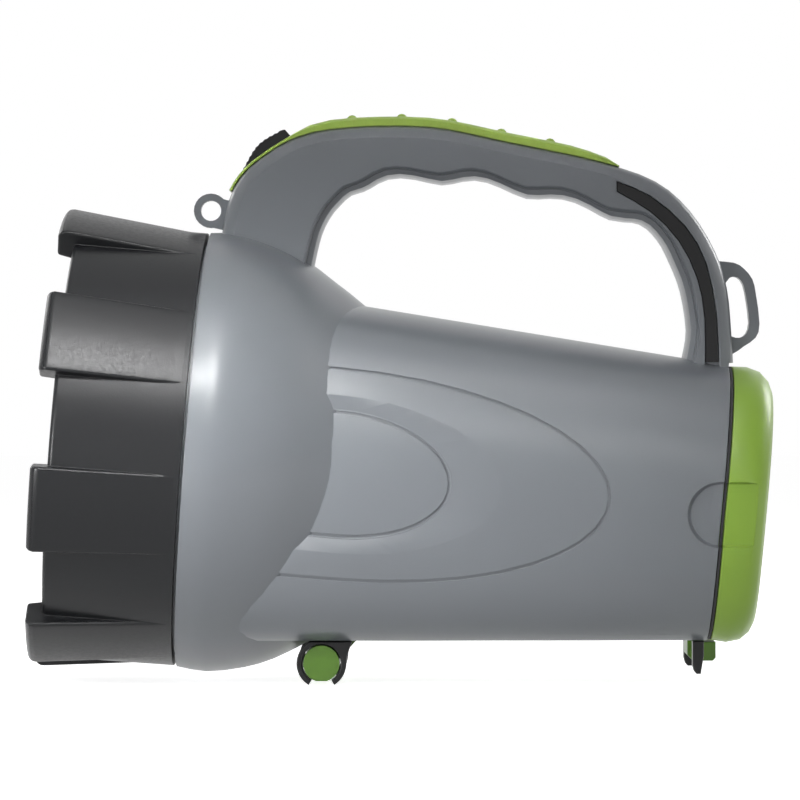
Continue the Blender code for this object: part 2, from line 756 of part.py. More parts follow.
def make_bezel():
    bore = SEAM_RADIUS - BEZEL_WALL
    lip = bore - LENS_LIP_WIDTH
    top = SEAM_RADIUS + LOBE_RISE
    rear = -BEZEL_REAR_GAP
    cup_floor = -BEZEL_LENGTH + CUP_DEPTH
    seat = cup_floor + LENS_LIP_THICKNESS
    ring = lathe([
        (rear, SEAM_RADIUS - RING_TAPER), (-BEZEL_LENGTH + RING_EDGE, SEAM_RADIUS),
        (-BEZEL_LENGTH, SEAM_RADIUS - RING_EDGE), (-BEZEL_LENGTH, lip + RING_FACE_WIDTH),
        (cup_floor, lip), (seat, lip), (seat, bore), (rear, bore),
    ])
    root = bore + BEZEL_WALL / 2
    sunk = -BEZEL_LENGTH + RING_EDGE * 0.8
    nose = [
        (-LOBE_REAR, root), (-LOBE_REAR, SEAM_RADIUS - LOBE_REAR_SINK), (-LOBE_LENGTH + LOBE_NOSE, top),
        (-LOBE_LENGTH + LOBE_NOSE * 0.3, top - LOBE_NOSE * 0.35), (-LOBE_LENGTH, top - LOBE_NOSE),
        (-LOBE_LENGTH, lip + LOBE_FACE_WIDTH), (sunk, lip + RING_FACE_WIDTH + 0.1), (sunk, root),
    ]
    for k in range(LOBE_COUNT):
        middle = LOBE_PHASE + 360.0 / LOBE_COUNT * k
        join(ring, sector(nose, middle - LOBE_HALF_ANGLE, middle + LOBE_HALF_ANGLE, 5))
    ring.data.transform(Matrix.Scale(1 / MM, 4))
    ring.data.transform(Matrix.Scale(MM, 4) @ head_frame())
    add_part(ring, "bezel", "black_bezel")
    return seat


def make_optics(seat):
    edge = SEAM_RADIUS - BEZEL_WALL - FIT
    frame = head_frame()
    lens_front = seat + FIT
    lens_rear = lens_front + LENS_THICKNESS
    lens = lathe([(lens_front, 0), (lens_front, edge), (lens_rear, edge), (lens_rear, 0)], matrix=frame)
    add_part(lens, "lens", "clear_lens")

    seal_front = lens_rear + FIT
    seal_rear = seal_front + SEAL_THICKNESS
    hole = edge - SEAL_WIDTH
    seal = [(seal_front, edge), (seal_front, hole), (seal_rear, hole), (seal_rear, edge)]
    add_part(lathe(seal, REFLECTOR_SEGMENTS, matrix=frame), "lens_seal", "seal_rubber")

    rim = seal_rear + FIT
    mouth = edge - REFLECTOR_FLANGE_WIDTH
    vertex = rim + mouth**2 / (4 * REFLECTOR_FOCUS)
    bowl = []
    for k in range(REFLECTOR_RINGS + 1):
        radius = mouth + (REFLECTOR_NECK_RADIUS - mouth) * k / REFLECTOR_RINGS
        bowl.append((vertex - radius**2 / (4 * REFLECTOR_FOCUS), radius))
    back = [(x + REFLECTOR_WALL * 0.4, radius + REFLECTOR_WALL) for x, radius in reversed(bowl[1:])]
    flange = rim + REFLECTOR_FLANGE
    profile = bowl + back + [(flange, mouth + REFLECTOR_WALL), (flange, edge), (rim, edge)]
    add_part(lathe(profile, REFLECTOR_SEGMENTS, matrix=frame), "reflector", "bright_reflector")

    board_front = bowl[-1][0] + REFLECTOR_WALL * 0.4 + FIT
    board_rear = board_front + LED_BOARD_THICKNESS
    rim = LED_BOARD_RADIUS
    board = [(board_front, 0), (board_front, rim), (board_rear, rim), (board_rear, 0)]
    add_part(lathe(board, 32, matrix=frame), "led_board", "board_green")
    tip = board_front - FIT
    base = tip - EMITTER_BASE
    emitter = [(tip, 0.0), (tip, EMITTER_RADIUS), (base, EMITTER_RADIUS)]
    for angle in (30, 60):
        turn = math.radians(angle)
        front = base - (EMITTER_HEIGHT - EMITTER_BASE) * math.sin(turn)
        emitter.append((front, EMITTER_RADIUS * math.cos(turn)))
    emitter.append((tip - EMITTER_HEIGHT, 0.0))
    add_part(lathe(emitter, 24, matrix=frame), "led_emitter", "led_yellow")

    sink_front = board_rear + FIT
    sink_rear = sink_front + SINK_BASE
    disc = [(sink_front, 0), (sink_front, SINK_RADIUS), (sink_rear, SINK_RADIUS), (sink_rear, 0)]
    sink = lathe(disc, 40, matrix=frame)
    for k in range(SINK_FIN_COUNT):
        y = (k - (SINK_FIN_COUNT - 1) / 2) * SINK_RADIUS * 0.38
        height = math.sqrt(SINK_RADIUS**2 - (abs(y) + SINK_FIN_WIDTH) ** 2)
        low = (sink_rear - 1, y - SINK_FIN_WIDTH / 2, -height)
        high = (sink_rear + SINK_FIN_LENGTH, y + SINK_FIN_WIDTH / 2, height)
        join(sink, block(low, high, matrix=frame))
    add_part(sink, "heat_sink", "sink_aluminium")


# Handle trim

def contour_normal(u):
    way = (spline(HANDLE_OUTER, u + 0.02) - spline(HANDLE_OUTER, u - 0.02)).normalized()
    return Vector((-way.y, way.x))


def strip_thickness(u):
    rise = min(max((u - STRIP_RISE_START) / (STRIP_RISE_END - STRIP_RISE_START), 0), 1)
    fall = min(max((STRIP_END - u) / (STRIP_END - STRIP_FALL_START), 0), 1)
    full = STRIP_THIN + (STRIP_THICKNESS - STRIP_THIN) * (3 * rise**2 - 2 * rise**3)
    return STRIP_THIN * 0.6 + (full - STRIP_THIN * 0.6) * math.sqrt(fall)


def strip_ring(u):
    base = spline(HANDLE_OUTER, u)
    out = contour_normal(u)
    thick = strip_thickness(u)
    half = STRIP_HALF_WIDTH
    side = [(FIT, half), (thick * 0.72, half), (thick * 0.93, half - 0.9), (thick, half - 2.6)]
    ring = [(base + out * d, y) for d, y in side] + [(base + out * d, -y) for d, y in reversed(side)]
    return [(point.x, y, point.y) for point, y in ring]


def contour_at(x):
    """The curve parameter where the handle's top passes the given x."""
    low, high = STRIP_START, STRIP_END
    for _ in range(24):
        middle = (low + high) / 2
        if spline(HANDLE_OUTER, middle).x < x:
            low = middle
        else:
            high = middle
    return low


def make_strip():
    stations = [STRIP_START + (STRIP_END - STRIP_START) * k / STRIP_STEPS for k in range(STRIP_STEPS + 1)]
    strip = loft([strip_ring(u) for u in stations])
    for k in range(NUB_COUNT):
        u = contour_at(NUB_FIRST_X + NUB_PITCH * k)
        centre = spline(HANDLE_OUTER, u) + contour_normal(u) * (strip_thickness(u) + NUB_HEIGHT - NUB_RADIUS)
        nub = circle(centre, NUB_RADIUS, 12)
        join(strip, extrude(nub, -NUB_HALF_WIDTH, NUB_HALF_WIDTH, bevel=NUB_BEVEL, segments=1))
    width = BUTTON_HALF_WIDTH + PLAY
    length = BUTTON_HALF_LENGTH + PLAY
    reach = 2 * width
    cut(strip, block((-length, -width, -reach), (length, width, reach), matrix=button_frame()))
    add_part(strip, "grip_strip", "green_trim")


def make_button():
    half = BUTTON_HALF_LENGTH
    crown = smooth([(-half, BUTTON_FRONT_EDGE), (0.0, BUTTON_HEIGHT), (half - 0.6, BUTTON_REAR_EDGE)], 5)
    outline = crown + [(half, BUTTON_REAR_EDGE - 0.6), (half, -BUTTON_SKIRT), (-half, -BUTTON_SKIRT)]
    width = BUTTON_HALF_WIDTH
    button = extrude(outline, -width, width, matrix=button_frame(), bevel=BUTTON_BEVEL)
    stem_tip = BUTTON_SKIRT + BUTTON_TRAVEL + PLAY + 2.0
    base = -BUTTON_SKIRT + 1.0
    stem = [(base, 0), (base, BUTTON_STEM_RADIUS), (-stem_tip, BUTTON_STEM_RADIUS), (-stem_tip, 0)]
    upright = Matrix.Rotation(-math.pi / 2, 4, "Y")
    join(button, lathe(stem, 12, matrix=button_frame() @ upright))
    add_part(button, "switch_button", "black_moulding", pivot=(BUTTON_X, 0, BUTTON_Z))

    top_z = -(BUTTON_SKIRT + BUTTON_TRAVEL + PLAY)
    low = (-SWITCH_HALF_LENGTH, -SWITCH_HALF_WIDTH, top_z - SWITCH_HEIGHT)
    high = (SWITCH_HALF_LENGTH, SWITCH_HALF_WIDTH, top_z - 0.1)
    switch = block(low, high, matrix=button_frame(), bevel=0.5)
    bore = BUTTON_STEM_RADIUS + PLAY
    reach = -stem_tip - BUTTON_TRAVEL - PLAY
    socket = lathe([(5.0, 0), (5.0, bore), (reach, bore), (reach, 0)], 12, matrix=button_frame() @ upright)
    add_part(cut(switch, socket), "push_switch", "black_moulding")


def make_inlays():
    floor = HANDLE_HALF_WIDTH - CHANNEL_DEPTH + FIT
    outline = channel_outline(FIT, INLAY_END_Z)
    for side, name in ((-1, "handle_inlay_left"), (1, "handle_inlay_right")):
        inlay = extrude(outline, side * floor, side * (floor + INLAY_THICKNESS))
        add_part(inlay, name, "black_moulding")


# Rear end

def rear_ring(offset, inset):
    """The body's rim in the rear plane, moved back by the offset and in by the inset."""
    ring = []
    tilt = math.radians(REAR_PLANE_TILT)
    frame = rear_frame()
    base = body_ring(REAR_PLANE_X, 0.0)
    middle_z = (BODY_BOTTOM_Z + body_section(REAR_PLANE_X)[1]) / 2
    for _, y, z in base:
        lean = (z - REAR_PLANE_Z) / math.cos(tilt)
        top = body_section(REAR_PLANE_X + lean * math.sin(tilt))[1]
        stretch = (top - middle_z) / (body_section(REAR_PLANE_X)[1] - middle_z) if z > middle_z else 1.0
        ring.append((y, middle_z + (z - middle_z) * stretch))
    shrunk = shrink(ring, inset, middle_z)
    return [frame @ Vector((offset, y, (z - REAR_PLANE_Z) / math.cos(tilt))) for y, z in shrunk]


def shrink(ring, inset, middle_z):
    """Scales a ring about its middle so that each half axis is shorter by the inset."""
    half_y = max(y for y, _ in ring)
    half_z = max(z for _, z in ring) - middle_z
    return [(y * (1 - inset / half_y), middle_z + (z - middle_z) * (1 - inset / half_z)) for y, z in ring]


def make_rear_cover():
    shoulder = COVER_DEPTH - COVER_ROUNDING
    round_rings = []
    for angle in (0, 30, 55, 75):
        turn = math.radians(angle)
        back = COVER_ROUNDING * math.sin(turn)
        round_rings.append((shoulder + back, COVER_ROUNDING * (1 - math.cos(turn))))
    front = GASKET_THICKNESS + 2 * FIT
    outer = [(front, 0.25)] + round_rings + [(COVER_DEPTH, COVER_ROUNDING + 6.0)]
    cover = loft([rear_ring(offset, inset) for offset, inset in outer])
    deep = COVER_DEPTH - COVER_WALL
    inner = [
        (-1.0, COVER_WALL), (shoulder, COVER_WALL), (deep - 2.5, COVER_WALL + 4.0),
        (deep, COVER_WALL + 10.0),
    ]
    cut(cover, loft([rear_ring(offset, inset) for offset, inset in inner]))
    start = WALL + DISH_DEPTH + FIT
    root = COVER_DEPTH - COVER_WALL - 1.5
    tip = -COVER_TONGUE_LENGTH
    tongue = loft([rear_ring(offset, start) for offset in (tip, root)])
    cut(tongue, loft([rear_ring(offset, start + COVER_TONGUE_WALL) for offset in (tip - 1, root + 1)]))
    side = LEG_HALF_WIDTH + RECESS_SIDE_GAP + WALL + FIT
    cut(tongue, block((0, -side, -50), (200, side, BODY_BOTTOM_Z + RECESS_DEPTH + WALL + FIT)))
    join(cover, tongue)
    cut(cover, thumb_cutter(-1), thumb_cutter(1))
    add_part(cover, "rear_cover", "green_trim", pivot=(REAR_PLANE_X, 0, REAR_PLANE_Z))


def make_gasket():
    """A flat ring between the body's rim and the cover, open at the stand's recess."""
    offsets = (FIT, FIT + GASKET_THICKNESS)
    gasket = loft([rear_ring(offset, GASKET_INSET) for offset in offsets])
    inner = WALL + DISH_DEPTH
    cut(gasket, loft([rear_ring(offset, inner) for offset in (offsets[0] - 1, offsets[1] + 1)]))
    cut(gasket, leg_recess(), thumb_cutter(-1), thumb_cutter(1))
    add_part(gasket, "rear_gasket", "seal_rubber")


def make_rear_panel():
    edge = WALL + DISH_DEPTH + FIT
    frame = rear_frame()
    front = -PANEL_RECESS
    panel = loft([rear_ring(offset, edge) for offset in (front, front + PANEL_THICKNESS)])
    side = LEG_HALF_WIDTH + RECESS_SIDE_GAP + WALL + FIT
    cut(panel, block((0, -side, -50), (200, side, BODY_BOTTOM_Z + RECESS_DEPTH + WALL + FIT)))
    z = (JACK_Z - REAR_PLANE_Z) / math.cos(math.radians(REAR_PLANE_TILT))
    jack_at = frame @ Matrix.Translation((0, 0, z))
    lamp_at = frame @ Matrix.Translation((0, INDICATOR_Y, z))
    back = front + PANEL_THICKNESS
    for radius, sides, place in ((JACK_RADIUS, 24, jack_at), (INDICATOR_RADIUS, 16, lamp_at)):
        near, far = front - PANEL_THICKNESS, back + PANEL_THICKNESS
        bore = [(near, 0), (near, radius + FIT), (far, radius + FIT), (far, 0)]
        cut(panel, lathe(bore, sides, matrix=place))
    add_part(panel, "rear_panel", "grey_housing")

    flange = back + FIT
    end = front - JACK_LENGTH + 4
    jack = lathe([
        (end, 0), (end, JACK_RADIUS), (flange, JACK_RADIUS), (flange, JACK_FLANGE_RADIUS),
        (flange + 1.2, JACK_FLANGE_RADIUS), (flange + 1.2, JACK_BORE_RADIUS),
        (front - 3, JACK_BORE_RADIUS), (front - 3, JACK_PIN_RADIUS),
        (back - 0.5, JACK_PIN_RADIUS), (back, JACK_PIN_RADIUS * 0.6), (back, 0),
    ], 24, matrix=jack_at)
    add_part(jack, "charging_jack", "black_moulding")
    end = front - INDICATOR_LENGTH + 3
    collar = INDICATOR_RADIUS + 0.8
    lens = lathe([
        (end, 0), (end, INDICATOR_RADIUS), (flange, INDICATOR_RADIUS),
        (flange, collar), (flange + 0.6, collar),
        (flange + 0.6, INDICATOR_RADIUS), (flange + 1.8, INDICATOR_RADIUS * 0.7), (flange + 2.3, 0),
    ], 16, matrix=lamp_at)
    add_part(lens, "charge_indicator", "indicator_red")


# Stand

def clip_outline():
    """A C-shaped snap clip, open downwards, with its seat under the body and a gusset behind."""
    centre = (AXLE_X, AXLE_Z)
    bore = AXLE_RADIUS + PLAY
    drop = AXLE_Z - CLIP_MOUTH_Z
    mouth = math.degrees(math.acos(drop / CLIP_OUTER_RADIUS))
    seat_z = BODY_BOTTOM_Z - FIT
    seat = math.degrees(math.asin((seat_z - AXLE_Z) / CLIP_OUTER_RADIUS))
    left = arc(centre, CLIP_OUTER_RADIUS, 180 - seat, 270 - mouth, 9)
    right = arc(centre, CLIP_OUTER_RADIUS, -90 + mouth, -6, 6)
    gusset = [(AXLE_X + CLIP_GUSSET_REACH - 1.6, AXLE_Z + 2.4), (AXLE_X + CLIP_GUSSET_REACH, seat_z)]
    inner = arc(centre, bore, -90 + mouth, 270 - mouth, 18)
    return left + list(reversed(inner)) + right + gusset


def make_stand():
    clip = clip_outline()
    for side, name in ((-1, "stand_clip_left"), (1, "stand_clip_right")):
        add_part(extrude(clip, side * CLIP_INNER_Y, side * CLIP_OUTER_Y), name, "black_moulding")

    flat = math.degrees(math.acos(AXLE_FLAT / AXLE_RADIUS))
    hub = arc((AXLE_X, AXLE_Z), AXLE_RADIUS, -90 + flat, 270 - flat, 26)
    leg = extrude(hub, -CLIP_OUTER_Y, CLIP_OUTER_Y)
    top = BODY_BOTTOM_Z + RECESS_DEPTH - FIT - 0.2
    low = top - LEG_THICKNESS
    arm = [
        (AXLE_X - 3.0, AXLE_Z + 3.0), (AXLE_X + 1.0, AXLE_Z + 5.4),
        (RECESS_FRONT_X + 6.0, top), (LEG_REAR_X, top),
        (LEG_REAR_X, low), (RECESS_FRONT_X + 8.5, low), (AXLE_X + 4.0, AXLE_Z - 1.0),
    ]
    inner = LEG_ARM_INNER_Y
    join(leg, extrude(arm, -LEG_HALF_WIDTH, -inner), extrude(arm, inner, LEG_HALF_WIDTH))
    half = LEG_HALF_WIDTH - 1
    bar = block((LEG_BAR_X, -half, low + 0.2), (LEG_REAR_X - 0.2, half, top - 0.2))
    join(leg, bar)
    tab = [
        (LEG_REAR_X - 4.0, low + 1.0), (LEG_REAR_X - 4.0, LEG_TAB_BOTTOM_Z + 2.0),
        (LEG_REAR_X - 2.0, LEG_TAB_BOTTOM_Z),
        (LEG_TAB_REAR_X - 1.0, LEG_TAB_BOTTOM_Z), (LEG_TAB_REAR_X, LEG_TAB_BOTTOM_Z + 1.0),
        (LEG_TAB_REAR_X, low - 2.0),
        (LEG_REAR_X - 0.4, low - 2.0), (LEG_REAR_X - 0.4, low + 1.0),
    ]
    join(leg, extrude(tab, -LEG_TAB_HALF_WIDTH, LEG_TAB_HALF_WIDTH))
    add_part(leg, "stand_leg", "green_axle", pivot=(AXLE_X, 0, AXLE_Z))

    seat_z = BODY_BOTTOM_Z - FIT
    finger = [
        (LATCH_FRONT_X, seat_z), (LATCH_FRONT_X, LATCH_BOTTOM_Z + 2.8),
        (LATCH_FRONT_X + 0.5, LATCH_BOTTOM_Z + 1.0),
        (LATCH_FRONT_X + 1.3, LATCH_BOTTOM_Z), (LATCH_REAR_X - 1.0, LATCH_BOTTOM_Z),
        (LATCH_REAR_X, LATCH_BOTTOM_Z + 6.0), (LATCH_REAR_X, seat_z),
    ]
    near = LEG_HALF_WIDTH + RECESS_SIDE_GAP + 0.8
    for side, name in ((-1, "stand_latch_left"), (1, "stand_latch_right")):
        add_part(extrude(finger, side * near, side * (near + LATCH_WIDTH)), name, "black_moulding")


# Inner parts

def make_inner_parts():
    floor = BODY_BOTTOM_Z + RECESS_DEPTH + WALL + FIT
    front = BATTERY_REAR_X - BATTERY_LENGTH
    half = BATTERY_HALF_WIDTH + FIT + CRADLE_WALL
    cradle_front = front - BOARD_OFFSET - 3.0
    cradle = block((cradle_front, -half, floor), (BATTERY_REAR_X, half, floor + CRADLE_SIDE_HEIGHT))
    inner = half - CRADLE_WALL
    open_top = floor + 2 * CRADLE_SIDE_HEIGHT
    tray_low = (cradle_front - 1, -inner, floor + CRADLE_FLOOR)
    cut(cradle, block(tray_low, (BATTERY_REAR_X + 1, inner, open_top)))
    board_x = front - BOARD_OFFSET
    slot_z = floor + CRADLE_FLOOR + 6.0
    for low_x in (board_x - FIT - 2.0, board_x + BOARD_THICKNESS + FIT):
        rib = block((low_x, -inner - 0.5, floor + CRADLE_FLOOR - 0.5), (low_x + 2.0, inner + 0.5, slot_z))
        join(cradle, rib)
    add_part(cradle, "battery_cradle", "black_moulding")

    low = floor + CRADLE_FLOOR + FIT
    high = (BATTERY_REAR_X - 0.5, BATTERY_HALF_WIDTH, low + BATTERY_HEIGHT)
    battery = block((front, -BATTERY_HALF_WIDTH, low), high, bevel=1.5)
    add_part(battery, "battery_pack", "battery_case")
    high = (board_x + BOARD_THICKNESS, BOARD_HALF_WIDTH, low + BOARD_HEIGHT)
    board = block((board_x, -BOARD_HALF_WIDTH, low), high)
    for y, z, reach in ((-11.0, 30.0, 3.0), (9.0, 34.0, 2.5), (4.0, 18.0, 2.0)):
        join(board, block((board_x - reach, y - 4, low + z - 3), (board_x + 0.5, y + 4, low + z + 3)))
    add_part(board, "circuit_board", "board_green")


clear_scene()
make_housing()
make_optics(make_bezel())
make_strip()
make_button()
make_inlays()
make_rear_cover()
make_gasket()
make_rear_panel()
make_stand()
make_inner_parts()
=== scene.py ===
# Hand spotlight: looks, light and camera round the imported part.
# The lamp points to -X, the handle is up, and the camera looks along +Y at the left side.
import math

import bmesh
import bpy
from mathutils import Matrix, Vector


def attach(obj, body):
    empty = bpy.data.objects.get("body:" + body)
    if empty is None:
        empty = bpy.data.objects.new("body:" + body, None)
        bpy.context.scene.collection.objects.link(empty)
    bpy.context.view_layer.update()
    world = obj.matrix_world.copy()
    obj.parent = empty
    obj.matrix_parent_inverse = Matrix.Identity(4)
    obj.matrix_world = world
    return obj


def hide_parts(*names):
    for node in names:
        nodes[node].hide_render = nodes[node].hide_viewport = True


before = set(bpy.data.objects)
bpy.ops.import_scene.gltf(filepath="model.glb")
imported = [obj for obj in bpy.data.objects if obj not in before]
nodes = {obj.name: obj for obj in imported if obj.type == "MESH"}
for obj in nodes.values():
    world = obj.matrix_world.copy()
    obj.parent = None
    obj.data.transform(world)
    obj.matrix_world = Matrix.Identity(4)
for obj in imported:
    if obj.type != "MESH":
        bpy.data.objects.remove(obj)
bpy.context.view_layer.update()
mm = 0.001
joinMm = 1e-4  # points nearer than this become one, in pieces drawn in mm
joinMetres = 2e-6  # the same for the CAD's meshes, in metres
print("frame loaded,", len(nodes), "nodes")


# Small helpers

def linear(hexCode):  # sRGB hex to linear RGBA
    parts = [int(hexCode[i:i + 2], 16) / 255 for i in (1, 3, 5)]
    return [p / 12.92 if p <= 0.04045 else ((p + 0.055) / 1.055) ** 2.4 for p in parts] + [1.0]


def addNode(tree, kind, values=None, settings=None, links=None):
    node = tree.nodes.new(kind)
    for name, value in (settings or {}).items():
        setattr(node, name, value)
    for socket, value in (values or {}).items():
        node.inputs[socket].default_value = value
    for socket, source in (links or {}).items():
        tree.links.new(source, node.inputs[socket])
    return node


def place(x, y, z, turn=0.0):  # a frame at that point in mm, turned about Y in degrees
    return Matrix.Translation((x, y, z)) @ Matrix.Rotation(math.radians(turn), 4, "Y")


def curveThrough(points, steps):  # Catmull-Rom curve, so many samples in each span
    found = []
    for k in range((len(points) - 1) * steps + 1):
        span = min(k // steps, len(points) - 2)
        t = k / steps - span
        b, c = Vector(points[span]), Vector(points[span + 1])
        a = Vector(points[span - 1]) if span else 2 * b - c
        d = Vector(points[span + 2]) if span + 2 < len(points) else 2 * c - b
        square = (2 * a - 5 * b + 4 * c - d) * t**2
        found.append(0.5 * (2 * b + (c - a) * t + square + (3 * b - a - 3 * c + d) * t**3))
    return found


def circlePoints(x, z, radius, steps, start, end):  # an arc, its angles in degrees
    turns = [math.radians(start + (end - start) * k / steps) for k in range(steps + 1)]
    return [(x + radius * math.cos(t), z + radius * math.sin(t)) for t in turns]


def cornerNormals(mesh, smoothBelow):  # big faces count most, and edges over that angle stay sharp
    ownShare = 1e-3  # keeps a corner's sum from being empty
    limit = math.cos(math.radians(smoothBelow))
    touching = [[] for _ in mesh.vertices]
    for face in mesh.polygons:
        for vertex in face.vertices:
            touching[vertex].append((face.normal.copy(), face.area))
    found = []
    for face in mesh.polygons:
        own = face.normal.copy()
        for loop in face.loop_indices:
            total = own * face.area * ownShare
            for normal, area in touching[mesh.loops[loop].vertex_index]:
                if normal.dot(own) > limit:
                    total = total + normal * area
            found.append((loop, total.normalized()))
    found.sort(key=lambda pair: pair[0])
    return [normal for _, normal in found]


def levelNormal(level, point, tolerance):
    if abs(level(point)) > tolerance:
        return None
    step = 0.05  # mm to either side
    slope = [level(point + axis * step) - level(point - axis * step) for axis in Matrix.Identity(3)]
    return Vector(slope).normalized()


def curvedNormals(mesh, normals, guides):  # guides: (level, tolerance in mm, widest angle to the face)
    for face in mesh.polygons:
        for level, tolerance, widest in guides:
            exact = [levelNormal(level, mesh.vertices[v].co / mm, tolerance) for v in face.vertices]
            if all(n and n.dot(face.normal) > math.cos(math.radians(widest)) for n in exact):
                for loop, normal in zip(face.loop_indices, exact):
                    normals[loop] = normal
                break
    return normals


def toPiece(bm, name, material, body, replaced, smoothBelow=32, guides=()):
    mesh = bpy.data.meshes.new(name)
    bm.to_mesh(mesh)
    bm.free()
    mesh.materials.append(material)
    mesh.shade_smooth()
    normals = cornerNormals(mesh, smoothBelow)
    mesh.normals_split_custom_set(curvedNormals(mesh, normals, guides) if guides else normals)
    piece = bpy.data.objects.new(name, mesh)
    bpy.context.scene.collection.objects.link(piece)
    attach(piece, body)
    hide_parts(*replaced)


def closeSkin(bm, matrix=None):  # joins doubles and turns faces outward, then goes from mm to metres
    bmesh.ops.remove_doubles(bm, verts=bm.verts, dist=joinMm)
    bmesh.ops.recalc_face_normals(bm, faces=bm.faces)
    bmesh.ops.transform(bm, matrix=Matrix.Scale(mm, 4) @ (matrix or Matrix()), verts=bm.verts)
    return bm


def mergedCopy(nodeName):  # the CAD mesh as one joined skin, in metres
    bm = bmesh.new()
    bm.from_mesh(nodes[nodeName].data)
    bmesh.ops.remove_doubles(bm, verts=bm.verts, dist=joinMetres)
    bmesh.ops.dissolve_degenerate(bm, edges=bm.edges, dist=joinMetres)
    return bm


def addSpun(bm, profile, steps, degrees=360):  # (x, radius) points about the x axis
    verts = [bm.verts.new((x, 0, radius)) for x, radius in profile]
    whole = degrees == 360
    if whole:
        ends = [] if min(profile[0][1], profile[-1][1]) <= 0 else [bm.edges.new((verts[-1], verts[0]))]
        geom = verts + [bm.edges.new(pair) for pair in zip(verts, verts[1:])] + ends
    else:
        geom = [bm.faces.new(verts)]
    bmesh.ops.spin(bm, geom=geom, cent=(0, 0, 0), axis=(1, 0, 0), dvec=(0, 0, 0),
                   angle=math.radians(degrees), steps=steps, use_merge=whole, use_duplicate=False)


def addExtruded(bm, outline, yFrom, yTo, edge, segments=2):  # an (x, z) outline run along y
    face = bm.faces.new([bm.verts.new((x, yFrom, z)) for x, z in outline])
    made = bmesh.ops.extrude_face_region(bm, geom=[face])
    moved = [v for v in made["geom"] if isinstance(v, bmesh.types.BMVert)]
    bmesh.ops.translate(bm, verts=moved, vec=(0, yTo - yFrom, 0))
    far = [f for f in made["geom"] if isinstance(f, bmesh.types.BMFace)]
    rims = list({e for f in [face] + far for e in f.edges})
    bmesh.ops.bevel(bm, geom=rims, offset=edge, segments=segments, profile=0.5, affect="EDGES",
                    material=-1, clamp_overlap=True)


def addPart(bm, part):  # takes a part into bm
    mesh = bpy.data.meshes.new("part")
    part.to_mesh(mesh)
    part.free()
    bm.from_mesh(mesh)
    bpy.data.meshes.remove(mesh)


# Materials, each named for the real one. A look's grain, patch and edge are in mm

surface = {"noiseLow": 0.3, "noiseHigh": 0.7, "patchDetail": 3.0, "grainDetail": 2.0, "bump": 0.6,
           "edgeSamples": 6, "roughSpread": 0.02}
looks = {
    "grey": {"roughness": 0.3, "grain": 0.5, "grainDepth": 0.012, "patch": 40, "patchShade": 0.02,
             "edge": 0.3, "sockets": {"IOR": 1.53}},
    "bezel": {"roughness": 0.34, "grain": 0.6, "grainDepth": 0.03, "patch": 1.2, "patchShade": 0.04,
              "edge": 0.4, "roughSpread": 0.05, "sockets": {"IOR": 1.53, "Specular IOR Level": 0.25}},
    "black": {"roughness": 0.34, "grain": 0.5, "grainDepth": 0.01, "patch": 12, "patchShade": 0.05,
              "edge": 0.3, "sockets": {"IOR": 1.53, "Specular IOR Level": 0.25}},
    "green": {"roughness": 0.34, "grain": 0.5, "grainDepth": 0.01, "patch": 30, "patchShade": 0.02,
              "edge": 0.35, "sockets": {"IOR": 1.53, "Specular IOR Level": 0.4}},
    "clear": {"roughness": 0.03, "grain": 40, "grainDepth": 0.0, "patch": 60, "roughSpread": 0.01,
              "sockets": {"Transmission Weight": 1.0, "IOR": 1.58}},
    "rubber": {"roughness": 0.75, "grain": 0.6, "grainDepth": 0.02, "patch": 10, "patchShade": 0.08},
    "mirror": {"roughness": 0.07, "grain": 3.0, "grainDepth": 0.004, "patch": 30,
               "sockets": {"Metallic": 1.0}},
    "phosphor": {"roughness": 0.3, "grain": 0.4, "grainDepth": 0.01, "patch": 2, "patchShade": 0.06,
                 "sockets": {"Coat Weight": 1.0, "Coat Roughness": 0.05}},
    "board": {"roughness": 0.42, "grain": 0.8, "grainDepth": 0.01, "patch": 6, "patchShade": 0.08},
    "sink": {"roughness": 0.34, "grain": 0.5, "grainDepth": 0.02, "patch": 8, "patchShade": 0.04,
             "sockets": {"Metallic": 1.0}},
    "resin": {"roughness": 0.12, "grain": 8, "grainDepth": 0.002, "patch": 8, "patchShade": 0.04,
              "sockets": {"IOR": 1.5}},
}


def noiseRange(tree, source, middle, spread):  # the noise as a number round the middle
    return addNode(tree, "ShaderNodeMapRange", {
        "From Min": surface["noiseLow"], "From Max": surface["noiseHigh"],
        "To Min": middle - spread, "To Max": middle + spread}, links={"Value": source}).outputs["Result"]


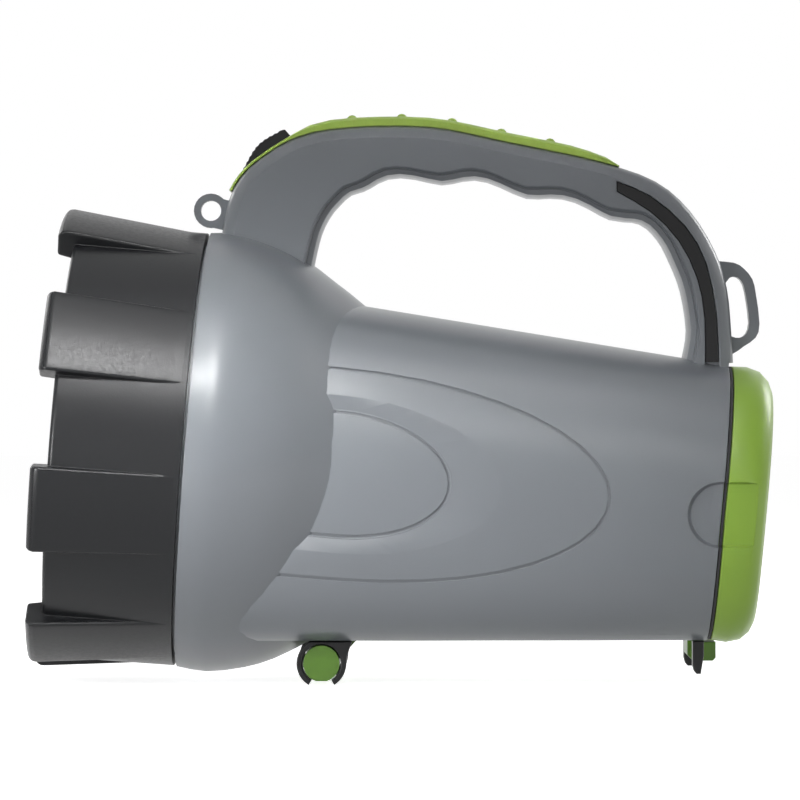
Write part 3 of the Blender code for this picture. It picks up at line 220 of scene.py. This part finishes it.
def makeSurface(name, colour, look):
    material = bpy.data.materials.new(name)
    material.use_nodes = True
    tree = material.node_tree
    shader = tree.nodes["Principled BSDF"]
    shader.inputs["Base Color"].default_value = linear(colour)
    shader.inputs["Roughness"].default_value = look["roughness"]
    for socket, value in look.get("sockets", {}).items():
        shader.inputs[socket].default_value = value
    spot = addNode(tree, "ShaderNodeTexCoord").outputs["Object"]
    coarse = addNode(tree, "ShaderNodeTexNoise", {
        "Scale": 1 / (look["patch"] * mm), "Detail": surface["patchDetail"]}, links={"Vector": spot})
    patches = coarse.outputs["Fac"]
    if look.get("patchShade"):  # slight unevenness of the moulded colour
        tint = addNode(tree, "ShaderNodeHueSaturation", {"Color": linear(colour)},
                       links={"Value": noiseRange(tree, patches, 1, look["patchShade"])})
        tree.links.new(tint.outputs["Color"], shader.inputs["Base Color"])
    spread = look.get("roughSpread", surface["roughSpread"])
    tree.links.new(noiseRange(tree, patches, look["roughness"], spread), shader.inputs["Roughness"])
    grain = addNode(tree, "ShaderNodeTexNoise", {
        "Scale": 1 / (look["grain"] * mm), "Detail": surface["grainDetail"]}, links={"Vector": spot})
    bump = addNode(tree, "ShaderNodeBump", {
        "Strength": surface["bump"], "Distance": look["grainDepth"] * mm},
        links={"Height": grain.outputs["Fac"]})
    if look.get("edge"):  # edges rounded by the mould
        edge = addNode(tree, "ShaderNodeBevel", {"Radius": look["edge"] * mm},
                       {"samples": surface["edgeSamples"]})
        tree.links.new(edge.outputs["Normal"], bump.inputs["Normal"])
    tree.links.new(bump.outputs["Normal"], shader.inputs["Normal"])
    return material


greyAbs = makeSurface("satin grey ABS", "#6f7378", looks["grey"])  # broad soft highlight, hardly any grain
blackNylon = makeSurface("grained black nylon", "#18191b", looks["bezel"])  # grain breaks up the highlight
blackAbs = makeSurface("plain black ABS", "#121213", looks["black"])  # deep black with a weak sheen
greenAbs = makeSurface("satin lime ABS", "#89ac39", looks["green"])  # even lime green, soft sheen
litGreenAbs = makeSurface("satin lime ABS of the grip, painted lit", "#aac956", looks["green"])  # the cover's green painted paler: painted light on the grip strip
shadedGreenAbs = makeSurface("satin green ABS, painted shaded", "#587f26", looks["green"])  # the lime green painted darker: painted shade on the stand under the body
clearAcrylic = makeSurface("clear acrylic", "#fbfdff", looks["clear"])  # see-through, sharp reflections
blackRubber = makeSurface("black nitrile rubber", "#1b1b1b", looks["rubber"])  # dull, no highlight
metallised = makeSurface("vacuum metallised plastic", "#e8eaec", looks["mirror"])  # near mirror, faint ripple
phosphor = makeSurface("LED phosphor under silicone", "#e8c636", looks["phosphor"])  # yellow under a gloss
solderMask = makeSurface("green solder mask", "#145f3a", looks["board"])  # half gloss, faintly uneven
extruded = makeSurface("extruded aluminium", "#c8cacc", looks["sink"])  # pale metal, slightly dulled
caseAbs = makeSurface("matt charcoal ABS", "#3b3e43", looks["black"])  # sealed battery's plain case
redResin = makeSurface("clear red resin", "#b01a14", looks["resin"])  # glossy red charge lamp
print("materials made")


# Housing: the CAD skin, shaded with the true curvature of dome and flank

head = {"seamX": -68.4, "seamZ": 76.7, "tilt": 4.5, "droop": 1.2, "radius": 72.4, "flattening": 0.17,
        "flatteningReach": 50.0, "flatteningEnd": 1.2, "flatteningPower": 1.5, "profileSteps": 12,
        "profile": [(0.0, 0.0), (10.0, -0.7), (22.3, 1.9), (32.0, 5.8), (42.0, 12.0), (53.0, 19.2),
                    (64.0, 28.4)]}
flank = {"frontX": -52.0, "rearX": 112.0, "topFront": 131.0, "topRear": 104.3, "bottom": 12.5,
         "frontWidth": 53.0, "rearWidth": 41.0, "widest": 0.48, "upperPower": 2.5, "lowerPower": 4.0,
         "dishDepth": 1.7}
shading = {"smoothBelow": 30, "near": 0.3, "widest": 15, "dishNear": 0.5, "dishWidest": 7}
headFrame = place(head["seamX"], 0, head["seamZ"], head["tilt"])
intoHead = headFrame.inverted()
domeCurve = curveThrough(head["profile"], head["profileSteps"])


def domeFall(x):
    for a, b in zip(domeCurve, domeCurve[1:]):
        if x <= b.x:
            return a.y + (b.y - a.y) * (x - a.x) / (b.x - a.x)
    return domeCurve[-1].y


def domeLevel(point):  # mm outside the dome's skin, negative inside
    local = intoHead @ point
    reach = max(local.x, 0.0)
    share = min(reach / head["flatteningReach"], head["flatteningEnd"])
    narrow = 1 - head["flattening"] * share ** head["flatteningPower"]
    drop = reach * math.tan(math.radians(head["droop"]))
    return math.hypot(local.y / narrow, local.z + drop) - (head["radius"] - domeFall(local.x))


def flankLevel(point):  # mm outside the body's skin, roughly
    share = (point.x - flank["frontX"]) / (flank["rearX"] - flank["frontX"])
    top = flank["topFront"] + (flank["topRear"] - flank["topFront"]) * share
    width = flank["frontWidth"] + (flank["rearWidth"] - flank["frontWidth"]) * share
    centre = flank["bottom"] + (top - flank["bottom"]) * flank["widest"]
    up = point.z > centre
    power = flank["upperPower"] if up else flank["lowerPower"]
    height = top - centre if up else centre - flank["bottom"]
    outward = (abs(point.y) / width) ** power + (abs(point.z - centre) / height) ** power
    return outward ** (1 / power) * width - width


def dishLevel(point):
    return flankLevel(point) + flank["dishDepth"]


def makeHousing():
    s = shading
    guides = [(domeLevel, s["near"], s["widest"]), (flankLevel, s["near"], s["widest"]),
              (dishLevel, s["dishNear"], s["dishWidest"])]
    for side in ("left", "right"):
        toPiece(mergedCopy("housing_" + side), "shell_" + side, greyAbs, "body",
                ["housing_" + side], s["smoothBelow"], guides)
    print("housing made")


# Bezel: a spun ring with eight raised lobes

bezel = {"radius": 72.4, "wall": 4.2, "length": 43.2, "rearGap": 1.1, "cupDepth": 6.2, "lip": 5.0,
         "lipThickness": 2.4, "lipChamfer": (0.4, 0.3), "edge": 1.5, "edgeSteps": 6, "face": 3.3,
         "faceChamfer": (0.35, 0.3), "taper": 0.3, "ringSteps": 180, "lobes": 8, "phase": 28.0,
         "halfAngle": 10.8, "lobeLength": 48.3, "lobeRear": 2.4, "lobeSink": 0.45, "lobeRise": 4.6,
         "lobeNose": 2.2, "noseCurve": (0.3, 0.35), "lobeFace": 4.8, "lobeOverlap": (0.8, 0.1),
         "lobeEdge": 0.9, "lobeEdgeSteps": 3, "lobeSteps": 10, "sharpOver": 32, "smoothBelow": 35}


def addLobes(bm, bore, lip, front):
    b = bezel
    top = b["radius"] + b["lobeRise"]
    nose = b["lobeNose"]
    tip = -b["lobeLength"]
    root = bore + b["wall"] / 2
    sunk = front + b["edge"] * b["lobeOverlap"][0]
    profile = [(-b["lobeRear"], root), (-b["lobeRear"], b["radius"] - b["lobeSink"]), (tip + nose, top),
               (tip + nose * b["noseCurve"][0], top - nose * b["noseCurve"][1]), (tip, top - nose),
               (tip, lip + b["lobeFace"]), (sunk, lip + b["face"] + b["lobeOverlap"][1]), (sunk, root)]
    for k in range(b["lobes"]):
        part = bmesh.new()
        addSpun(part, profile, b["lobeSteps"], 2 * b["halfAngle"])
        bmesh.ops.recalc_face_normals(part, faces=part.faces)
        sharp = math.radians(b["sharpOver"])
        rims = [e for e in part.edges if len(e.link_faces) == 2 and e.calc_face_angle() > sharp]
        bmesh.ops.bevel(part, geom=rims, offset=b["lobeEdge"], segments=b["lobeEdgeSteps"], profile=0.5,
                        affect="EDGES", material=-1)
        middle = b["phase"] + 360 / b["lobes"] * k + b["halfAngle"]
        bmesh.ops.transform(part, matrix=Matrix.Rotation(math.radians(90 - middle), 4, "X"), verts=part.verts)
        addPart(bm, part)


def makeBezel():
    b = bezel
    bore = b["radius"] - b["wall"]
    lip = bore - b["lip"]
    front = -b["length"]
    cupFloor = front + b["cupDepth"]
    seat = cupFloor + b["lipThickness"]
    edge, steps = b["edge"], b["edgeSteps"]
    turns = [math.radians(90 * k / steps) for k in range(steps + 1)]
    rounded = [(front + edge - edge * math.sin(t), b["radius"] - edge + edge * math.cos(t)) for t in turns]
    faceIn, faceOut = b["faceChamfer"]
    lipIn, lipOut = b["lipChamfer"]
    bm = bmesh.new()
    addSpun(bm, [(-b["rearGap"], b["radius"] - b["taper"])] + rounded + [
        (front, lip + b["face"] + faceOut), (front + faceIn, lip + b["face"]), (cupFloor, lip + lipOut),
        (cupFloor + lipIn, lip), (seat, lip), (seat, bore), (-b["rearGap"], bore)], b["ringSteps"])
    bmesh.ops.remove_doubles(bm, verts=bm.verts, dist=joinMm)
    bmesh.ops.recalc_face_normals(bm, faces=bm.faces)
    addLobes(bm, bore, lip, front)
    bmesh.ops.transform(bm, matrix=Matrix.Scale(mm, 4) @ headFrame, verts=bm.verts)
    toPiece(bm, "bezel_ring", blackNylon, "body", ["bezel"], b["smoothBelow"])
    print("bezel made")


# Optics behind the bezel's lip, finer than in the CAD

optics = {"edge": 67.9, "lensFront": -34.3, "lensThickness": 2.6, "lensEdge": 0.4, "rim": -29.6,
          "flange": 1.6, "mouth": 62.5, "focus": 17.0, "neck": 10.0, "wall": 1.6, "backShift": 0.4,
          "rings": 28, "steps": 144, "emitterRadius": 4.0, "emitterHeight": 3.0, "emitterBase": 1.0,
          "domeRings": 9, "emitterSteps": 48, "emitterSmooth": 40}


def makeOptics():
    o = optics
    bm = bmesh.new()
    front, rear, cut = o["lensFront"], o["lensFront"] + o["lensThickness"], o["lensEdge"]
    addSpun(bm, [(front, 0), (front, o["edge"] - cut), (front + cut, o["edge"]), (rear - cut, o["edge"]),
                 (rear, o["edge"] - cut), (rear, 0)], o["steps"])
    toPiece(closeSkin(bm, headFrame), "front_lens", clearAcrylic, "body", ["lens"])

    bm = bmesh.new()
    vertex = o["rim"] + o["mouth"] ** 2 / (4 * o["focus"])
    radii = [o["mouth"] + (o["neck"] - o["mouth"]) * k / o["rings"] for k in range(o["rings"] + 1)]
    bowl = [(vertex - radius**2 / (4 * o["focus"]), radius) for radius in radii]
    shift = o["wall"] * o["backShift"]
    back = [(x + shift, radius + o["wall"]) for x, radius in reversed(bowl[1:])]
    flangeRear = o["rim"] + o["flange"]
    addSpun(bm, bowl + back + [(flangeRear, o["mouth"] + o["wall"]), (flangeRear, o["edge"]),
                               (o["rim"], o["edge"])], o["steps"])
    toPiece(closeSkin(bm, headFrame), "mirror_bowl", metallised, "body", ["reflector"])

    bm = bmesh.new()
    foot = bowl[-1][0] + shift
    base = foot - o["emitterBase"]
    turns = [math.radians(90 * k / o["domeRings"]) for k in range(1, o["domeRings"])]
    rise = o["emitterHeight"] - o["emitterBase"]
    dome = [(base - rise * math.sin(t), o["emitterRadius"] * math.cos(t)) for t in turns]
    addSpun(bm, [(foot, 0), (foot, o["emitterRadius"]), (base, o["emitterRadius"])] + dome
            + [(foot - o["emitterHeight"], 0)], o["emitterSteps"])
    toPiece(closeSkin(bm, headFrame), "led_dome", phosphor, "body", ["led_emitter"],
            o["emitterSmooth"])
    print("optics made")


# Button: a crowned bar with fine ridges across it, on a round stem

button = {"x": -44.4, "z": 174.6, "turn": -41.1, "half": 10.2, "halfWidth": 6.3, "frontEdge": 1.0,
          "height": 4.2, "rearEdge": 2.8, "rearCorner": 0.6, "skirt": 3.6, "bevel": 0.5, "bevelSteps": 3,
          "crownSteps": 24, "ridge": 0.13, "ridgePitch": 1.9, "stemRoot": 1.0, "stemRadius": 1.5,
          "stemTip": 8.0, "stemSteps": 24, "smoothBelow": 40}


def makeButton():
    b = button
    curve = curveThrough([(-b["half"], b["frontEdge"]), (0, b["height"]),
                          (b["half"] - b["rearCorner"], b["rearEdge"])], b["crownSteps"])
    crown = [(x, z - b["ridge"] * math.cos(2 * math.pi * x / b["ridgePitch"])) for x, z in curve]
    rest = [(b["half"], b["rearEdge"] - b["rearCorner"]), (b["half"], -b["skirt"]), (-b["half"], -b["skirt"])]
    bm = bmesh.new()
    addExtruded(bm, crown + rest, -b["halfWidth"], b["halfWidth"], b["bevel"], b["bevelSteps"])
    stem = bmesh.new()
    root = b["skirt"] - b["stemRoot"]
    addSpun(stem, [(root, 0), (root, b["stemRadius"]), (b["stemTip"], b["stemRadius"]), (b["stemTip"], 0)],
            b["stemSteps"])
    bmesh.ops.remove_doubles(stem, verts=stem.verts, dist=joinMm)
    bmesh.ops.transform(stem, matrix=Matrix.Rotation(math.radians(90), 4, "Y"), verts=stem.verts)
    addPart(bm, stem)
    toPiece(closeSkin(bm, place(b["x"], 0, b["z"], b["turn"])), "power_button", blackAbs, "button",
            ["switch_button"], b["smoothBelow"])
    print("button made")


# Stand parts: clips and latch fingers with rounded edges

stand = {"axleX": -25.7, "axleZ": 7.0, "axleRadius": 5.95, "play": 0.4, "clipRadius": 8.15,
         "clipInner": 20.5, "clipOuter": 29.5, "arcSteps": (18, 14, 40), "seat": 14.2, "gusset": 10.0,
         "gussetFrom": -6, "gussetRise": 2.4, "gussetRun": 1.6, "edge": 0.45, "latchInner": 20.3,
         "latchWidth": 5.2, "smoothBelow": 40,
         "latch": [(95.9, 14.2), (95.9, 6.2), (96.4, 4.4), (97.2, 3.4), (98.6, 3.4), (99.6, 9.4),
                   (99.6, 14.2)]}


def clipOutline():
    s = stand
    x, z, outer, bore = s["axleX"], s["axleZ"], s["clipRadius"], s["axleRadius"] + s["play"]
    mouth = math.degrees(math.acos(z / outer))
    seatTurn = math.degrees(math.asin((s["seat"] - z) / outer))
    leftSteps, rightSteps, boreSteps = s["arcSteps"]
    left = circlePoints(x, z, outer, leftSteps, 180 - seatTurn, 270 - mouth)
    right = circlePoints(x, z, outer, rightSteps, -90 + mouth, s["gussetFrom"])
    bend = circlePoints(x, z, bore, boreSteps, -90 + mouth, 270 - mouth)
    gusset = [(x + s["gusset"] - s["gussetRun"], z + s["gussetRise"]), (x + s["gusset"], s["seat"])]
    return left + bend[::-1] + right + gusset


def makeStandParts():
    s = stand
    latchOuter = s["latchInner"] + s["latchWidth"]
    for side, word in ((-1, "left"), (1, "right")):
        bm = bmesh.new()
        addExtruded(bm, clipOutline(), side * s["clipInner"], side * s["clipOuter"], s["edge"])
        toPiece(closeSkin(bm), "axle_clip_" + word, blackAbs, "body",
                ["stand_clip_" + word], s["smoothBelow"])
        bm = bmesh.new()
        addExtruded(bm, s["latch"], side * s["latchInner"], side * latchOuter, s["edge"])
        toPiece(closeSkin(bm), "latch_finger_" + word, blackAbs, "body",
                ["stand_latch_" + word], s["smoothBelow"])
    print("stand parts made")


# The rest keeps the CAD's skin, joined and evenly shaded: node, piece, material, slot, body, smoothing

keptShapes = [
    # the grip strip's green is painted paler: painted light
    ("grip_strip", "trim_strip", litGreenAbs, "green_trim", "body", 38),
    ("rear_cover", "end_cover", greenAbs, "green_trim", "cover", 32),
    ("rear_gasket", "end_seal", blackRubber, "seal_rubber", "body", 30),
    ("rear_panel", "end_panel", greyAbs, "grey_housing", "body", 25),
    ("charging_jack", "power_socket", blackAbs, "black_moulding", "body", 30),
    ("charge_indicator", "charge_lamp", redResin, "indicator_red", "body", 50),
    ("handle_inlay_left", "channel_inlay_left", blackAbs, "black_moulding", "body", 25),
    ("handle_inlay_right", "channel_inlay_right", blackAbs, "black_moulding", "body", 25),
    # the folding leg's darker green is painted shade
    ("stand_leg", "folding_leg", shadedGreenAbs, "green_axle", "stand", 30),
]
unseen = {  # closed in by the housing, so a material is all they need
    "lens_seal": blackRubber, "led_board": solderMask, "heat_sink": extruded, "push_switch": blackAbs,
    "battery_cradle": blackAbs, "battery_pack": caseAbs, "circuit_board": solderMask,
}


def makeOthers():
    for nodeName, name, material, slot, body, smoothBelow in keptShapes:
        toPiece(mergedCopy(nodeName), name, material, body, [nodeName], smoothBelow)
    for nodeName, material in unseen.items():
        nodes[nodeName].data.materials.clear()
        nodes[nodeName].data.materials.append(material)
    print("other pieces made")


makeHousing()
makeBezel()
makeOptics()
makeButton()
makeStandParts()
makeOthers()


# Floor, light and camera. Each lamp: watts, width and height, place and aim in metres, spread in degrees

studio = {"floorHalf": 6.0, "floorColour": "#f2f2f2", "floorRoughness": 0.9, "floorGlow": 0.92,
          "skyLevel": 0.08}
eye = {"lens": 202.5, "sensor": 36.0, "distance": 1.5, "height": 0.0932, "near": 0.05, "far": 20.0}
lamps = {
    "body key": (0.022, (0.2, 0.06), (-0.086, -0.644, 0.584), (0.02, -0.04, 0.07), 11),
    "flank sheen": (0.006, (0.24, 0.05), (0.116, -0.677, 0.365), (0.06, -0.04, 0.08), 12),
    "head pool": (0.046, (0.17, 0.11), (-0.519, -0.705, 0.075), (-0.06, -0.05, 0.075), 12),
    "body pool": (0.018, (0.18, 0.11), (-0.4, -0.693, 0.07), (0, 0, 0.07), 10),
    "head sheen": (0.018, (0.24, 0.18), (-0.107, -0.537, 0.461), (-0.065, -0.06, 0.1), 14),
    "bezel sheen": (0.016, (0.14, 0.08), (-0.009, -0.464, 0.532), (-0.11, -0.06, 0.1), 14),
    "low bezel sheen": (0.022, (0.14, 0.08), (0.007, -0.531, 0.443), (-0.11, -0.06, 0.09), 14),
    "rear pool": (0.002, (0.1, 0.08), (0.41, -0.632, 0.121), (0.115, 0, 0.06), 12),
    "trim pool": (0.012, (0.3, 0.02), (0.0, -0.613, 0.701), (0, 0, 0.187), 6),
    "back softbox, rear": (6, (0.6, 0.5), (1.023, 0.799, 0.604), (0, 0, 0.08), 180),
    "back softbox, front": (4.5, (0.6, 0.5), (-0.994, 0.834, 0.604), (0, 0, 0.08), 180),
    "end softbox": (1.2, (0.5, 0.5), (1.201, 0.105, 0.567), (0, 0, 0.08), 180),
    "nose softbox": (0.6, (0.5, 0.5), (-1.122, 0.098, 0.73), (0, 0, 0.08), 180),
    "top softbox": (2.9, (0.7, 0.5), (0.0, -0.6, 1.119), (0, 0, 0.08), 180),
}


def softLight(name, power, size, at, aim, spread):
    data = bpy.data.lights.new(name, "AREA")
    data.energy = power
    data.shape = "RECTANGLE"
    data.size, data.size_y = size
    data.spread = math.radians(spread)
    light = bpy.data.objects.new(name, data)
    light.location = at
    light.rotation_euler = (Vector(at) - Vector(aim)).to_track_quat("Z", "Y").to_euler()
    light.visible_camera = False
    bpy.context.scene.collection.objects.link(light)


def seenByEye(tree):  # 1 for camera, glossy and transmission rays
    path = addNode(tree, "ShaderNodeLightPath")
    first = addNode(tree, "ShaderNodeMath", settings={"operation": "MAXIMUM"}, links={
        0: path.outputs["Is Camera Ray"], 1: path.outputs["Is Glossy Ray"]})
    return addNode(tree, "ShaderNodeMath", settings={"operation": "MAXIMUM"}, links={
        0: first.outputs[0], 1: path.outputs["Is Transmission Ray"]}).outputs[0]


def makeSky(scene):  # white to the eye, and a dim fill light
    world = bpy.data.worlds.new("studio")
    world.use_nodes = True
    scene.world = world
    tree = world.node_tree
    level = addNode(tree, "ShaderNodeMapRange", {"To Min": studio["skyLevel"], "To Max": 1.0},
                    links={"Value": seenByEye(tree)})
    tree.nodes["Background"].inputs["Color"].default_value = (1, 1, 1, 1)
    tree.links.new(level.outputs["Result"], tree.nodes["Background"].inputs["Strength"])


def makeFloor(scene):  # lifted to white for the eye, and still darkened by shadows
    bm = bmesh.new()
    bmesh.ops.create_grid(bm, x_segments=1, y_segments=1, size=studio["floorHalf"])
    mesh = bpy.data.meshes.new("floor")
    bm.to_mesh(mesh)
    bm.free()
    floor = bpy.data.objects.new("floor", mesh)
    scene.collection.objects.link(floor)
    paper = bpy.data.materials.new("matt white paper")
    paper.use_nodes = True
    tree = paper.node_tree
    shader = tree.nodes["Principled BSDF"]
    values = {"Base Color": linear(studio["floorColour"]), "Roughness": studio["floorRoughness"],
              "Specular IOR Level": 0.0}
    for socket, value in values.items():
        shader.inputs[socket].default_value = value
    glow = addNode(tree, "ShaderNodeEmission", {"Color": (1, 1, 1, 1), "Strength": studio["floorGlow"]})
    both = addNode(tree, "ShaderNodeAddShader", links={0: shader.outputs[0], 1: glow.outputs[0]})
    pick = addNode(tree, "ShaderNodeMixShader",
                   links={0: seenByEye(tree), 1: shader.outputs[0], 2: both.outputs[0]})
    tree.links.new(pick.outputs[0], tree.nodes["Material Output"].inputs["Surface"])
    mesh.materials.append(paper)


def makeCamera(scene):
    lens = bpy.data.cameras.new("camera")
    lens.lens = eye["lens"]
    lens.sensor_width = eye["sensor"]
    lens.clip_start = eye["near"]
    lens.clip_end = eye["far"]
    camera = bpy.data.objects.new("camera", lens)
    camera.location = (0, -eye["distance"], eye["height"])
    camera.rotation_euler = (math.radians(90), 0, 0)
    scene.collection.objects.link(camera)
    scene.camera = camera


def makeStudio():
    scene = bpy.context.scene
    makeSky(scene)
    makeFloor(scene)
    for name, values in lamps.items():
        softLight(name, *values)
    makeCamera(scene)
    scene.view_settings.view_transform = "Standard"
    print("studio made")


makeStudio()
